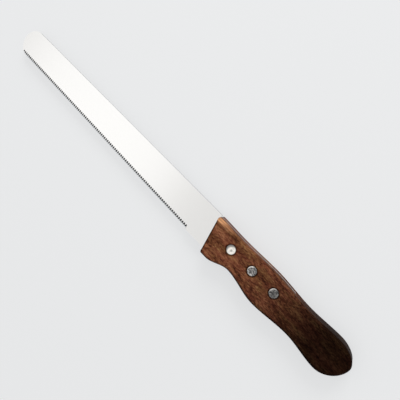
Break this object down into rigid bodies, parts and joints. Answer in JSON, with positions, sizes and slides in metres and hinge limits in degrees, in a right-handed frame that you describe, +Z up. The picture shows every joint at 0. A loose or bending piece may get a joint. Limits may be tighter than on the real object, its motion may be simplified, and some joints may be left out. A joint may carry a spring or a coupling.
{
  "type": "cake slicer",
  "caption": "Long cake slicer with a round-nosed, finely serrated steel blade whose half tang is riveted into a contoured one-piece wooden handle.",
  "frame": {"origin": "on the surface that the slicer lies on, under the middle of its length and of its height", "axes": "+X from the nose towards the butt, +Y from the cutting edge towards the spine, +Z up out of the left side, into which the serration is ground"},
  "size_m": [0.3893, 0.0318, 0.015],
  "materials": {
    "blade_steel": "fine satin polish along the blade, ground gullets",
    "rosewood": "oiled rosewood with dark pores along the grain",
    "rivet_metal": "ground flush and lightly worn"
  },
  "bodies": {
    "root": {"blade": "blade_steel", "handle": "rosewood", "rivet_sleeve_front": "rivet_metal", "rivet_sleeve_middle": "rivet_metal", "rivet_sleeve_rear": "rivet_metal", "rivet_pin_front": "rivet_metal", "rivet_pin_middle": "rivet_metal", "rivet_pin_rear": "rivet_metal"}
  },
  "joints": []
}
